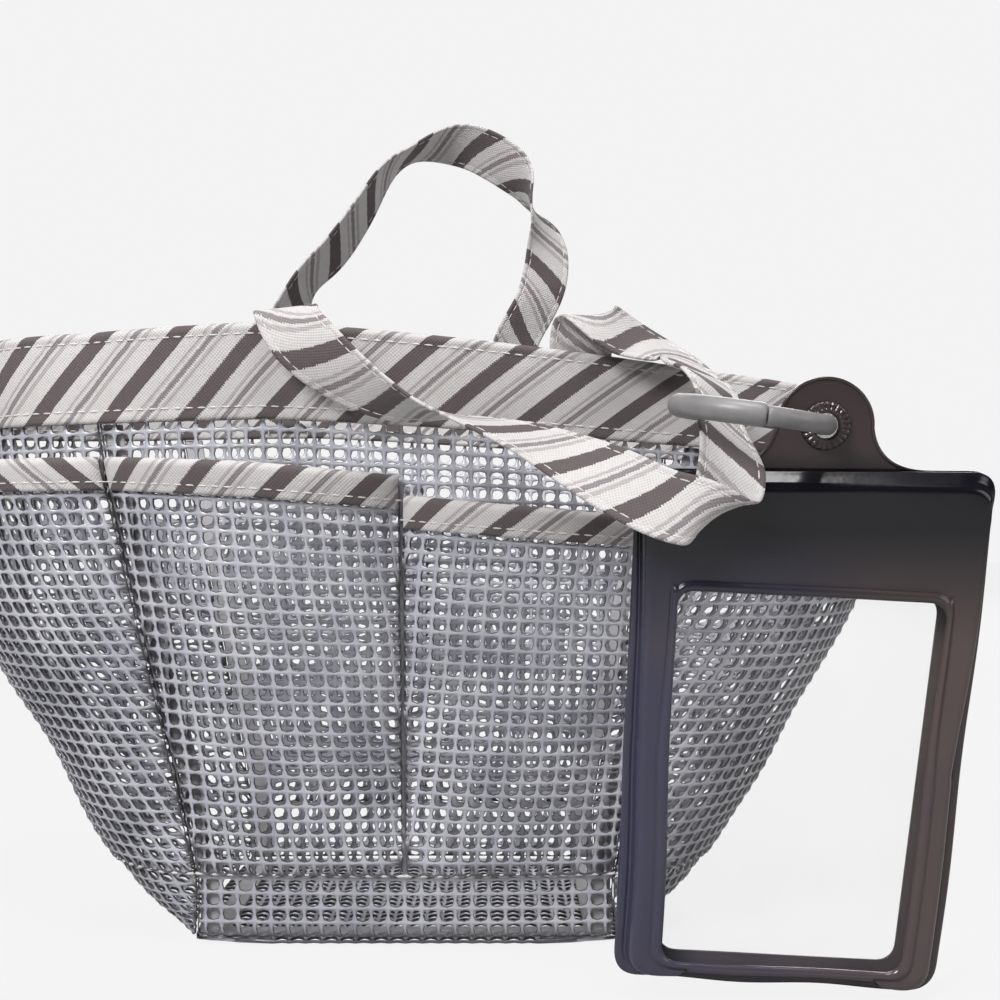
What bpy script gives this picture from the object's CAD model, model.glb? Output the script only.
# %% [markdown]
# A mesh shower caddy: a soft oval tote of coated net with a striped canvas rim, two striped
# strap handles, net pockets outside, and a flat vinyl pouch that hangs from the front strap on
# a split ring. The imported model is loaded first. It fixes every size, so each piece below is
# made in its frame and nothing is fitted afterwards. Sizes are in millimetres here, and
# MM turns them into Blender's metres when a mesh is made.

# %% Load the frame
import math
import bmesh
import bpy
import numpy as np
from mathutils import Matrix, Vector


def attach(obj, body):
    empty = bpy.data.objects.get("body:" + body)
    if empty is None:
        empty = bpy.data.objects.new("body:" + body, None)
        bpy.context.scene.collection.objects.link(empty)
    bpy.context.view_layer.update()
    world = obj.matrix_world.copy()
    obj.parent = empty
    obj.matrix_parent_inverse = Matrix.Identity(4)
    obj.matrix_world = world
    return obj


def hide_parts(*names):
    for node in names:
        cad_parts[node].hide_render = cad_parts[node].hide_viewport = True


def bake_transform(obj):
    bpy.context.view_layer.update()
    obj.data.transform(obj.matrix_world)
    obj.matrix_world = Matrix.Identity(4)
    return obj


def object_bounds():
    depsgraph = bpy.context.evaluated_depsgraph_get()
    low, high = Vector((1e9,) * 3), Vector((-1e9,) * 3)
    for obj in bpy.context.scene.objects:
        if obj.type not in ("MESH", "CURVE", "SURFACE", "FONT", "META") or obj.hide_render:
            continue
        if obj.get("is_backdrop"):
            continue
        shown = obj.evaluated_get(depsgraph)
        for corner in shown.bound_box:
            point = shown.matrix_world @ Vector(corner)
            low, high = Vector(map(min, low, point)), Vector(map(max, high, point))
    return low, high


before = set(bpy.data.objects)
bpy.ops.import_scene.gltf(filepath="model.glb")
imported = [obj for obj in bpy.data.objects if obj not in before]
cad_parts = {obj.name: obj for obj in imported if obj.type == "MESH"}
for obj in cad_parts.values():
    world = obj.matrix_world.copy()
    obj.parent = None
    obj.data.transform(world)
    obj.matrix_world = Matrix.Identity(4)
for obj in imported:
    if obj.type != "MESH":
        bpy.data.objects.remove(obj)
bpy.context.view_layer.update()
scene = bpy.context.scene
MM = 0.001

# %% [markdown]
# The photograph was taken from the front at about two thirds of the bag's height, with the
# camera level. A 50 mm lens at half a metre gives the same perspective.

# %% Camera
camera_data = bpy.data.cameras.new("camera")
camera_data.lens = 50
camera_data.sensor_width = 36
camera = bpy.data.objects.new("camera", camera_data)
camera.location = (0.034, -0.555, 0.160)
camera.rotation_euler = (math.radians(90), 0, 0)
scene.collection.objects.link(camera)
scene.camera = camera
print("camera at", tuple(round(v, 3) for v in camera.location))

# %% [markdown]
# Helpers that every material uses. One turns a hex colour into the linear colour that a shader
# takes. One adds a node: each input is given a plain value, or the node or output that feeds
# it. One turns the size of a grain in millimetres into the Scale of a noise on Object
# coordinates, which are in metres.

# %% Colour and node helpers


def srgb(code):
    parts = [int(code[i:i + 2], 16) / 255 for i in (1, 3, 5)]
    return [p / 12.92 if p <= 0.04045 else ((p + 0.055) / 1.055) ** 2.4 for p in parts] + [1]


def add_node(tree, kind, inputs=(), **settings):
    """inputs is a list in the order of the sockets, or a dict by their names or numbers."""
    node = tree.nodes.new(kind)
    for name, value in settings.items():
        setattr(node, name, value)
    for name, value in inputs.items() if isinstance(inputs, dict) else enumerate(inputs):
        if isinstance(value, bpy.types.Node):
            value = value.outputs[0]
        if isinstance(value, bpy.types.NodeSocket):
            tree.links.new(value, node.inputs[name])
        else:
            node.inputs[name].default_value = value
    return node


def new_material(name):
    material = bpy.data.materials.new(name)
    material.use_nodes = True
    material.node_tree.nodes.clear()
    return material, material.node_tree


def scale_for(size):
    return 1000 / size


print("a grain of 25 mm has the scale", scale_for(25))

# %% [markdown]
# Plain studio light: a wide soft key lamp from the upper left and front, a weak one from the
# right, one from above, and one from behind, which shines through the net and draws its
# threads' edges. The world is nearly dark for the light that falls on the object, and white
# to the camera and to rays that pass through clear film. So the object is lit at a plain
# level and its colours render about as they are written.

# %% Light and backdrop
scene.view_settings.view_transform = "Standard"
LIT_POINT = Vector((0, 0, 0.1))


def area_lamp(name, place, size, power):
    data = bpy.data.lights.new(name, "AREA")
    data.shape = "DISK"
    data.size = size
    data.energy = power
    lamp = bpy.data.objects.new(name, data)
    lamp.location = place
    lamp.rotation_euler = (LIT_POINT - Vector(place)).to_track_quat("-Z", "Y").to_euler()
    scene.collection.objects.link(lamp)


area_lamp("key_lamp", (-0.8, -1.2, 1.2), 0.7, 24)
area_lamp("fill_lamp", (1.3, -0.8, 0.6), 1.0, 4)
area_lamp("top_lamp", (0.1, -0.4, 1.3), 0.6, 8)
area_lamp("back_lamp", (0.5, 1.5, 0.9), 1.2, 14)


def seen_directly(tree):
    """1 for rays from the camera and through clear film, 0 for the light on the object."""
    rays = add_node(tree, "ShaderNodeLightPath").outputs
    return add_node(tree, "ShaderNodeMath", [rays["Is Camera Ray"], rays["Is Transmission Ray"]],
                    operation="MAXIMUM")


world = bpy.data.worlds.new("studio")
world.use_nodes = True
scene.world = world
tree = world.node_tree
tree.nodes.clear()
lit = add_node(tree, "ShaderNodeBackground", {"Color": srgb("#F2F2F2"), "Strength": 0.06})
shown = add_node(tree, "ShaderNodeBackground", {"Color": srgb("#F3F3F3"), "Strength": 1})
backdrop = add_node(tree, "ShaderNodeMixShader", [seen_directly(tree), lit, shown])
add_node(tree, "ShaderNodeOutputWorld", [backdrop])

# %% [markdown]
# The floor is a pale sheet. To the camera it is nearly as bright as the backdrop, so that
# hardly any horizon shows, and a tenth of what the camera sees is the lit paper, which keeps
# the soft shadow under the bag. It lies just below the object, so their faces never share a
# plane.

# %% Floor
FLOOR_REACH, FLOOR_BELOW, GLOW_SHARE = 3, 0.0004, 0.9
corners = [(FLOOR_REACH * x, FLOOR_REACH * y, 0) for x, y in ((-1, -1), (1, -1), (1, 1), (-1, 1))]
floor_mesh = bpy.data.meshes.new("floor")
floor_mesh.from_pydata(corners, [], [(0, 1, 2, 3)])
floor = bpy.data.objects.new("floor", floor_mesh)
floor.location.z = -FLOOR_BELOW
scene.collection.objects.link(floor)
floor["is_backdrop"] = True
floor_paint, tree = new_material("pale_floor")
paper = add_node(tree, "ShaderNodeBsdfPrincipled", {"Base Color": srgb("#ACACAC"), "Roughness": 0.9})
glow = add_node(tree, "ShaderNodeEmission", {"Color": srgb("#F3F3F3"), "Strength": 1.07})
share = add_node(tree, "ShaderNodeMath", [seen_directly(tree), GLOW_SHARE], operation="MULTIPLY")
mixed = add_node(tree, "ShaderNodeMixShader", [share, paper, glow])
add_node(tree, "ShaderNodeOutputMaterial", [mixed])
floor_mesh.materials.append(floor_paint)
print("floor at", round(floor.location.z, 4))

# %% [markdown]
# Every wall of the bag follows one formula, the one that the solids were made with: a plan
# that grows with height, flat at front and back and rounded at the sides, and a rim that sags
# most at the right. It is repeated here in millimetres, so that each net and band lies where
# its solid is. A point is named by its side, by turn from -1 to 1 across that side, by its
# level before the sag, and by its depth inwards from the outer face.

# %% Sizes of the bag
RIM_HEIGHT, RIM_HALF_WIDTH, RIM_HALF_DEPTH = 221, 176, 83
WALL, GAP, BASE_THICKNESS, CANVAS = 1.6, 0.4, 2, 1.4
RIM_SAG_RIGHT, RIM_SAG_LEFT, RIM_PEAK_X = 24, 5, -49
SAG_POWER, SAG_START_SHARE, BULGE_POWER = 1.2, 0.6, 0.8
BODY_SHARES = {
    "halfWidth": [[0, 0.45], [0.045, 0.58], [0.09, 0.645], [0.2, 0.716], [0.33, 0.784],
                  [0.42, 0.84], [0.55, 0.915], [0.68, 0.955], [0.84, 0.985], [1, 1]],
    "halfDepth": [[0, 0.69], [0.115, 0.735], [0.45, 0.82], [0.77, 0.915], [1, 1]],
    "cornerX": [[0, 0.426], [0.12, 0.426], [0.77, 0.591], [1, 0.636]],
    "cornerY": [[0, 0.663], [0.12, 0.687], [0.77, 0.8], [1, 0.777]],
}
BASE_HALF_WIDTH, BASE_CORNER_X = (RIM_HALF_WIDTH * BODY_SHARES[k][0][1] for k in ("halfWidth", "cornerX"))
BASE_HALF_DEPTH, BASE_CORNER_Y = (RIM_HALF_DEPTH * BODY_SHARES[k][0][1] for k in ("halfDepth", "cornerY"))
print("base", round(2 * BASE_HALF_WIDTH), "x", round(2 * BASE_HALF_DEPTH), "mm")

# %% The bag's surface


def along(table, t):
    """A smooth curve through a table of pairs, for a whole array at once."""
    x, y = np.array(table, float).T
    low, high = np.maximum(np.arange(len(x)) - 1, 0), np.minimum(np.arange(len(x)) + 1, len(x) - 1)
    slope = (y[high] - y[low]) / (x[high] - x[low])
    i = np.clip(np.searchsorted(x, t, side="left") - 1, 0, len(x) - 2)
    span = x[i + 1] - x[i]
    u = np.clip((t - x[i]) / span, 0, 1)
    rise = 3 * u ** 2 - 2 * u ** 3
    bend = slope[i] * (u ** 3 - 2 * u ** 2 + u) + slope[i + 1] * (u ** 3 - u ** 2)
    return y[i] * (1 - rise) + y[i + 1] * rise + span * bend


def sag_at(x):
    reach = np.where(x > RIM_PEAK_X, RIM_HALF_WIDTH - RIM_PEAK_X, RIM_HALF_WIDTH + RIM_PEAK_X)
    depth = np.where(x > RIM_PEAK_X, RIM_SAG_RIGHT, RIM_SAG_LEFT)
    return depth * np.minimum(np.abs(x - RIM_PEAK_X) / reach, 1) ** SAG_POWER


def wall_point(side, turn, level, depth):
    turn, level, depth = np.broadcast_arrays(*(np.asarray(v, float) for v in (turn, level, depth)))
    foot = BASE_THICKNESS + GAP
    share = (level - foot) / (RIM_HEIGHT - foot)
    corner_x = RIM_HALF_WIDTH * along(BODY_SHARES["cornerX"], share)
    corner_y = RIM_HALF_DEPTH * along(BODY_SHARES["cornerY"], share)
    if side in ("front", "back"):
        bulge = RIM_HALF_DEPTH * along(BODY_SHARES["halfDepth"], share) - corner_y
        x, y = corner_x * turn, corner_y + bulge * (1 - turn ** 2) - depth
    else:
        reach = RIM_HALF_WIDTH * along(BODY_SHARES["halfWidth"], share) - corner_x - GAP - depth
        x = corner_x + GAP + reach * np.cos(turn * np.pi / 2)
        y = (corner_y - depth) * np.sin(turn * np.pi / 2)
    x = -x if side == "left" else x
    y = -y if side == "front" else y
    start = SAG_START_SHARE * RIM_HEIGHT
    z = level - sag_at(x) * np.maximum((level - start) / (RIM_HEIGHT - start), 0)
    return np.stack([x, y, z], axis=-1)


print("rim corner", wall_point("front", -1, RIM_HEIGHT, 0).round(1))

# %% [markdown]
# Cloth never hangs quite flat. One slow wave over the whole bag moves every net in and out
# by a millimetre or two, so a pocket and the wall behind it move together and never cross. It
# fades away at the rim, at the base and in the corner seams, where the sewing holds it. A sum
# of sines is enough: unlike a noise, it is smooth and can be worked out at any point.

# %% Slow waves in the nets
WAVE_FOOT, WAVE_FOOT_FADE, WAVE_TOP, WAVE_TOP_FADE = 6, 30, 182, 25


def hang(points, middle):
    """How far a net stands in or out at these points. middle is 1 between seams and 0 at one."""
    x, y, z = points[..., 0], points[..., 1], points[..., 2]
    wave = 0.8 * np.sin(x / 19 + z / 31 + y / 23) + 0.6 * np.sin(x / 11 - z / 17 + 2)
    wave += 0.35 * np.sin(z / 8 + x / 27 - y / 15)
    free = np.clip((z - WAVE_FOOT) / WAVE_FOOT_FADE, 0, 1) * np.clip((WAVE_TOP - z) / WAVE_TOP_FADE, 0, 1)
    return wave * free * middle


def wave(points, turn):
    """Moves points of a wall in or out with the slow waves."""
    out = points * [1, 1, 0]
    out /= np.maximum(np.linalg.norm(out, axis=-1, keepdims=True), 1)
    return points + out * hang(points, 1 - turn ** 4)[..., None]


print("wave at the front pocket", hang(np.array([50.0, -80, 100]), 1).round(2), "mm")

# %% [markdown]
# The net is a polyester scrim dipped in soft PVC and baked: the coating rounds every hole and
# gives the threads a satin gloss. It is lavender grey, and PVC has an IOR of about 1.53. The
# sides of the threads, which the net's tree marks as rim, are darker than their faces, because
# less light reaches down into a hole. Clouds of 25 mm in the colour and a grain of 0.6 mm in
# the roughness keep thousands of equal threads from looking printed.

# %% Coated net
net_paint, tree = new_material("pvc_coated_net")
place = add_node(tree, "ShaderNodeTexCoord").outputs["Object"]
cloud = add_node(tree, "ShaderNodeTexNoise", {"Vector": place, "Scale": scale_for(25), "Detail": 3})
grain = add_node(tree, "ShaderNodeTexNoise", {"Vector": place, "Scale": scale_for(0.625), "Detail": 1})
tone = add_node(tree, "ShaderNodeValToRGB", [cloud.outputs["Fac"]])
tone.color_ramp.elements[0].position, tone.color_ramp.elements[0].color = 0.3, srgb("#B0B0BB")
tone.color_ramp.elements[1].position, tone.color_ramp.elements[1].color = 0.7, srgb("#DCDCE4")
rim = add_node(tree, "ShaderNodeAttribute", attribute_name="rim").outputs["Fac"]
squared = add_node(tree, "ShaderNodeMath", [rim, 2.0], operation="POWER")
darker = add_node(tree, "ShaderNodeMath", [squared, 0.8], operation="MULTIPLY")
side = add_node(tree, "ShaderNodeMath", [1.0, darker], operation="SUBTRACT")
shaded = add_node(tree, "ShaderNodeHueSaturation", {"Color": tone.outputs["Color"], "Value": side})
rough = add_node(tree, "ShaderNodeMapRange", {"Value": grain.outputs["Fac"], "To Min": 0.22, "To Max": 0.38})
bump = add_node(tree, "ShaderNodeBump",
                {"Height": grain.outputs["Fac"], "Strength": 0.25, "Distance": 0.0002})
coat = add_node(tree, "ShaderNodeBsdfPrincipled",
                {"Base Color": shaded, "Roughness": rough, "Normal": bump, "IOR": 1.53,
                 "Coat Weight": 0.35, "Coat Roughness": 0.16})
add_node(tree, "ShaderNodeOutputMaterial", [coat])
print(net_paint.name, "with", len(tree.nodes), "nodes")

# %% [markdown]
# Each net wall starts as a grid of quads, one for each hole: 6 mm wide and 5.4 mm high, as the
# photograph shows them beside the 22 mm strap. The grid is laid out by real distance along the
# surface, as a cutter lays it out on flat net, so all holes are the same size, and the slanted
# seams cut across them. A sliver under 0.3 of a cell joins its neighbour. The widest row and
# the height along the middle are the rectangle that the piece is cut from.

# %% Lay out a net
CELL_WIDTH, CELL_HEIGHT = 6.0, 5.4
SMALLEST_CELL = 0.3


def running(points):
    """The distance along a row of points, from 0 at its start."""
    steps = np.linalg.norm(np.diff(points, axis=0), axis=1)
    return np.concatenate([[0], np.cumsum(steps)])


def net_grid(name, place, across, low, high):
    """A mesh object of net cells, and its cut size in m. place(across, up) gives points in mm."""
    middle = sum(across) / 2
    heights = np.linspace(low, high, 400)
    up, cut_width = running(place(np.full(400, middle), heights)), 0
    rows = max(2, round(up[-1] / CELL_HEIGHT))
    levels = np.interp(np.linspace(0, up[-1], rows + 1), up, heights)
    fine = np.linspace(*across, 161)
    points, strands, index, reach = [], [], {}, []
    for j, level in enumerate(levels):
        line = place(fine, np.full(161, level))
        run = running(line)
        cut_width = max(cut_width, run[-1])
        run -= np.interp(middle, fine, run)
        left = max(1, math.ceil(-run[0] / CELL_WIDTH - SMALLEST_CELL))
        right = max(1, math.ceil(run[-1] / CELL_WIDTH - SMALLEST_CELL))
        reach.append((left, right))
        spots = [run[0], *(i * CELL_WIDTH for i in range(1 - left, right)), run[-1]]
        row = np.stack([np.interp(spots, run, line[:, k]) for k in range(3)], axis=1)
        for i, point in zip(range(-left, right + 1), row):
            index[i, j] = len(points)
            points.append(point)
            strands.append((i, j, 0))
    faces = net_faces(rows, index, reach)
    made = grid_object(name, np.array(points), faces, np.array(strands, float))
    return made, (cut_width * MM, up[-1] * MM)


def net_faces(rows, index, reach):
    """Quads between each two rows, and triangles at the seams where a row gains or loses cells."""
    faces = []
    for j in range(rows):
        for way in (1, -1):
            below, above = (reach[j + k][way > 0] for k in (0, 1))
            cells = [[(i, j), (i + 1, j), (i + 1, j + 1), (i, j + 1)] for i in range(min(below, above))]
            cells += [[(below, j), (i + 1, j + 1), (i, j + 1)] for i in range(below, above)]
            cells += [[(i, j), (i + 1, j), (above, j + 1)] for i in range(above, below)]
            faces += [[index[way * a, b] for a, b in cell][::way] for cell in cells]
    return faces


def grid_object(name, points, faces, strands):
    """The grid with its faces outwards. strand counts cells, and away is the way out of the bag."""
    mesh = bpy.data.meshes.new(name)
    mesh.from_pydata((points * MM).tolist(), [], faces)
    outward = points - [0, 0, points[:, 2].mean()]
    normals = np.array([f.normal for f in mesh.polygons])
    centres = np.array([outward[f.vertices[0]] for f in mesh.polygons])
    lies_flat = np.ptp(points[:, 2]) < 3
    facing = normals[:, 2].sum() if lies_flat else (normals * centres * [1, 1, 0]).sum()
    if facing < 0:
        mesh.flip_normals()
    mesh.update()
    away = np.array([v.normal for v in mesh.vertices])
    for title, values in (("strand", strands), ("away", away)):
        attribute = mesh.attributes.new(title, "FLOAT_VECTOR", "POINT")
        attribute.data.foreach_set("vector", values.astype(np.float32).ravel())
    made = bpy.data.objects.new(name, mesh)
    scene.collection.objects.link(made)
    return made


print("a cell is", CELL_WIDTH, "x", CELL_HEIGHT, "mm")

# %% [markdown]
# Geometry Nodes turn every quad into a hole with threads round it. The Wireframe modifier could
# make threads too, but not rounded holes in a net of even thickness. Here each face is extruded
# on its own by nothing, its copy is scaled down and deleted, and what is left is a frame. The
# frames get a thickness and one level of subdivision, which rounds the holes as the coating
# does.

# %% Tree that knits the net
net_tree = bpy.data.node_groups.new("knit_net", "GeometryNodeTree")
socket = {}
for title, kind in (("Geometry", "NodeSocketGeometry"), ("Hole share", "NodeSocketFloat"),
                    ("Thread thickness", "NodeSocketFloat"), ("Corner hold", "NodeSocketFloat"),
                    ("Bow", "NodeSocketFloat"), ("Material", "NodeSocketMaterial")):
    socket[title] = net_tree.interface.new_socket(title, in_out="INPUT", socket_type=kind).identifier
net_tree.interface.new_socket("Geometry", in_out="OUTPUT", socket_type="NodeSocketGeometry")
given = add_node(net_tree, "NodeGroupInput").outputs
cells = add_node(net_tree, "GeometryNodeExtrudeMesh",
                 {"Mesh": given["Geometry"], "Offset Scale": 0.0, "Individual": True}, mode="FACES").outputs
holes = add_node(net_tree, "GeometryNodeScaleElements",
                 {"Geometry": cells["Mesh"], "Selection": cells["Top"], "Scale": given["Hole share"]},
                 domain="FACE")
frames = add_node(net_tree, "GeometryNodeDeleteGeometry", {"Geometry": holes, "Selection": cells["Top"]},
                  domain="FACE")
thick = add_node(net_tree, "GeometryNodeExtrudeMesh",
                 {"Mesh": frames, "Offset Scale": given["Thread thickness"], "Individual": False},
                 mode="FACES")
backs = add_node(net_tree, "GeometryNodeFlipFaces", {"Mesh": frames})
both = add_node(net_tree, "GeometryNodeJoinGeometry")
for half in (backs, thick):
    net_tree.links.new(half.outputs["Mesh"], both.inputs[0])
closed = add_node(net_tree, "GeometryNodeMergeByDistance", {"Geometry": both, "Distance": 1e-6})
edge_angle = add_node(net_tree, "GeometryNodeInputMeshEdgeAngle").outputs["Signed Angle"]
corner = add_node(net_tree, "ShaderNodeMath", [edge_angle, 0.2], operation="GREATER_THAN")
hold = add_node(net_tree, "ShaderNodeMath", [corner, given["Corner hold"]], operation="MULTIPLY")
marked = add_node(net_tree, "GeometryNodeStoreNamedAttribute",
                  {"Geometry": closed, "Value": corner, "Name": "rim"}, data_type="FLOAT", domain="POINT")
smooth = add_node(net_tree, "GeometryNodeSubdivisionSurface",
                  {"Mesh": marked, "Vertex Crease": hold, "Level": 1})
print("net tree has", len(net_tree.nodes), "nodes so far")

# %% [markdown]
# In a leno weave the threads that run across bow outwards and the upright ones inwards. The
# strand attribute counts the cells, so its fraction says how far along a thread a point is.
# One line lays a parabola over it, 1 halfway between two crossings and 0 at a crossing.

# %% Bow of the threads, and the end of the tree
strand = add_node(net_tree, "GeometryNodeInputNamedAttribute", {"Name": "strand"}, data_type="FLOAT_VECTOR")
away = add_node(net_tree, "GeometryNodeInputNamedAttribute", {"Name": "away"}, data_type="FLOAT_VECTOR")
counts = add_node(net_tree, "ShaderNodeSeparateXYZ", [strand]).outputs
midway = []
for count in (counts["X"], counts["Y"]):
    above_zero = add_node(net_tree, "ShaderNodeMath", [count, 100.0], operation="ADD")
    part = add_node(net_tree, "ShaderNodeMath", [above_zero], operation="FRACT")
    rest = add_node(net_tree, "ShaderNodeMath", [1.0, part], operation="SUBTRACT")
    hill = add_node(net_tree, "ShaderNodeMath", [part, rest], operation="MULTIPLY")
    midway.append(add_node(net_tree, "ShaderNodeMath", [hill, 4.0], operation="MULTIPLY"))
bow = add_node(net_tree, "ShaderNodeMath", midway, operation="SUBTRACT")
bow = add_node(net_tree, "ShaderNodeMath", [bow, given["Bow"]], operation="MULTIPLY")
shift = add_node(net_tree, "ShaderNodeVectorMath", {0: away, "Scale": bow}, operation="SCALE")
bowed = add_node(net_tree, "GeometryNodeSetPosition", {"Geometry": smooth, "Offset": shift})
round_off = add_node(net_tree, "GeometryNodeSetShadeSmooth", [bowed])
real = add_node(net_tree, "GeometryNodeRealizeInstances", [round_off])
painted = add_node(net_tree, "GeometryNodeSetMaterial", {"Geometry": real, "Material": given["Material"]})
add_node(net_tree, "NodeGroupOutput", [painted])
print("net tree has", len(net_tree.nodes), "nodes")

# %% [markdown]
# One helper does that for every tree in this file. A net is declared as a sheet, sewn tight
# along its edges, with the size of its cut. Where its edges slant, the flat area is that of
# its cells.

# %% Make a tree's result real
HOLE_SHARE, THREAD_THICKNESS, CORNER_HOLD, THREAD_BOW = 0.85, 1.15, 0.42, 0.3


def plain_mesh(made, tree, values):
    """Runs a tree on an object. values are its inputs by the sockets' identifiers."""
    modifier = made.modifiers.new(tree.name, "NODES")
    modifier.node_group = tree
    for identifier, value in values.items():
        modifier[identifier] = value
    graph = bpy.context.evaluated_depsgraph_get()
    result = bpy.data.meshes.new_from_object(made.evaluated_get(graph), depsgraph=graph)
    made.modifiers.clear()
    made.data = result
    result.name = made.name
    return made


def knit(made, size):
    plain_mesh(made, net_tree, {
        socket["Hole share"]: HOLE_SHARE, socket["Thread thickness"]: THREAD_THICKNESS * MM,
        socket["Corner hold"]: CORNER_HOLD, socket["Bow"]: THREAD_BOW * MM,
        socket["Material"]: net_paint})
    for title in ("strand", "away"):
        made.data.attributes.remove(made.data.attributes[title])
    return made


print("thread", THREAD_THICKNESS, "mm thick")

# %% [markdown]
# Four walls hang from the canvas rim down to the base. Each net stands in for its plain solid
# and rides on the bag, whose body is the root. It starts just above the base and ends behind
# the rim band, which hides its cut edge.

# %% Wall nets
WALL_NET_LOW, WALL_NET_BELOW_RIM, NET_DEPTH = 3.4, 8, 0.4

for side in ("front", "back", "left", "right"):
    def on_wall(turn, level, side=side):
        return wave(wall_point(side, turn, level, WALL - NET_DEPTH), turn)

    wall = knit(*net_grid(f"{side}_wall_net", on_wall, (-1, 1), WALL_NET_LOW, RIM_HEIGHT - WALL_NET_BELOW_RIM))
    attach(wall, "root")
    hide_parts(f"{side}_panel")

# %% [markdown]
# The base is one flat piece of the same net, sewn to the walls all round. Its outline is a
# rectangle with bulging sides, so a half width is worked out for each line across it.

# %% Base net
BASE_NET_HEIGHT, BASE_NET_REACH = 0.55, 0.985


def on_base(across, up):
    y = BASE_HALF_DEPTH * np.clip(up, -1, 1)
    inside = np.sqrt(np.clip(1 - (y / BASE_CORNER_Y) ** 2, 0, 1))
    past_corner = (np.abs(y) - BASE_CORNER_Y) / (BASE_HALF_DEPTH - BASE_CORNER_Y)
    past = np.sqrt(np.clip(1 - past_corner, 0.02, 1))
    bulging = BASE_CORNER_X + (BASE_HALF_WIDTH - BASE_CORNER_X) * inside
    half = np.where(np.abs(y) < BASE_CORNER_Y, bulging, BASE_CORNER_X * past)
    return np.stack([half * across, y, np.full_like(y, BASE_NET_HEIGHT)], axis=-1)


base = knit(*net_grid("base_net", on_base, (-1, 1), -BASE_NET_REACH, BASE_NET_REACH))
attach(base, "root")
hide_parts("base_panel")

# %% [markdown]
# The pockets are nets of their own outside the walls. Each stands off most at the middle of
# its mouth and lies close to the wall at its seams. Two share the front, two the back, and one
# goes round each end. The table gives a pocket's wall, its start and end across that wall, the
# height of its mouth at each end, and how far it bulges.

# %% Pocket nets
POCKET_BOTTOM, POCKET_SEAM, BINDING, POCKET_NET_REACH = 26.5, 0.6, 1.0, 0.985
SEAM_SHARE = POCKET_SEAM / BASE_CORNER_X
POCKETS = {}
for side in ("front", "back"):
    POCKETS[f"{side}_left"] = (side, SEAM_SHARE - 1, -SEAM_SHARE, 176, 170, 14)
    POCKETS[f"{side}_right"] = (side, SEAM_SHARE, 1 - SEAM_SHARE, 163, 157, 14)
POCKETS["left"] = ("left", SEAM_SHARE - 1, 1 - SEAM_SHARE, 176, 176, 13)
POCKETS["right"] = ("right", SEAM_SHARE - 1, 1 - SEAM_SHARE, 157, 157, 13)


def pocket_point(name, across, up, depth):
    side, start, end, first, last, bulge = POCKETS[name]
    turn = start + (end - start) * across
    level = POCKET_BOTTOM + (first + (last - first) * across - POCKET_BOTTOM) * up
    swell = np.clip(4 * across * (1 - across), 0, 1) ** BULGE_POWER
    swell = swell * np.sin(np.clip(up, 0, 1) * np.pi / 2)
    stand_off = GAP + (BINDING + GAP) * up + bulge * swell
    return wave(wall_point(side, turn, level, depth - stand_off), turn)


for name in POCKETS:
    def on_pocket(across, up, name=name):
        return pocket_point(name, across, up, -NET_DEPTH)

    pocket = knit(*net_grid(f"{name}_pocket_net", on_pocket, (0, 1), 0, POCKET_NET_REACH))
    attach(pocket, "root")
    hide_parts(f"{name}_pocket")

# %% [markdown]
# The canvas is a printed plain weave of cotton: groups of grey and brown stripes on a greyish
# cream ground, dull, with a little sheen from its fibres. The stripes repeat every 29 mm. The
# rim band and the pocket bindings are cut on the bias, so their stripes lean at 45 degrees. The
# straps are cut along the cloth, so theirs run nearly straight across. Every canvas piece
# carries UV coordinates in millimetres, along and across itself, and one function makes the
# material for a given lean. The stripes' edges wander by half a millimetre, as ink does on
# rough cloth, and step from thread to thread. Slubs of 3 mm, thicker places in the yarn, make
# it uneven. The real threads are about 0.4 mm and too fine to show here, so the weave is drawn
# with threads of 0.65 mm.

# %% Striped canvas
CREAM, LIGHT, MID, DARK = srgb("#DCD8D7"), srgb("#BDB6B6"), srgb("#948C8E"), srgb("#655B5C")
STRIPES = [(0, DARK), (7.5, CREAM), (13, LIGHT), (14.5, CREAM), (16, MID), (18.5, CREAM),
           (20, LIGHT), (22, CREAM)]
STRIPE_REPEAT, TWO_THREADS, STRAIGHT_CUT_REPEAT = 29.0, 1.3, 44
EDGE_WANDER, WEAVE_WANDER = 0.7, 0.35


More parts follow.
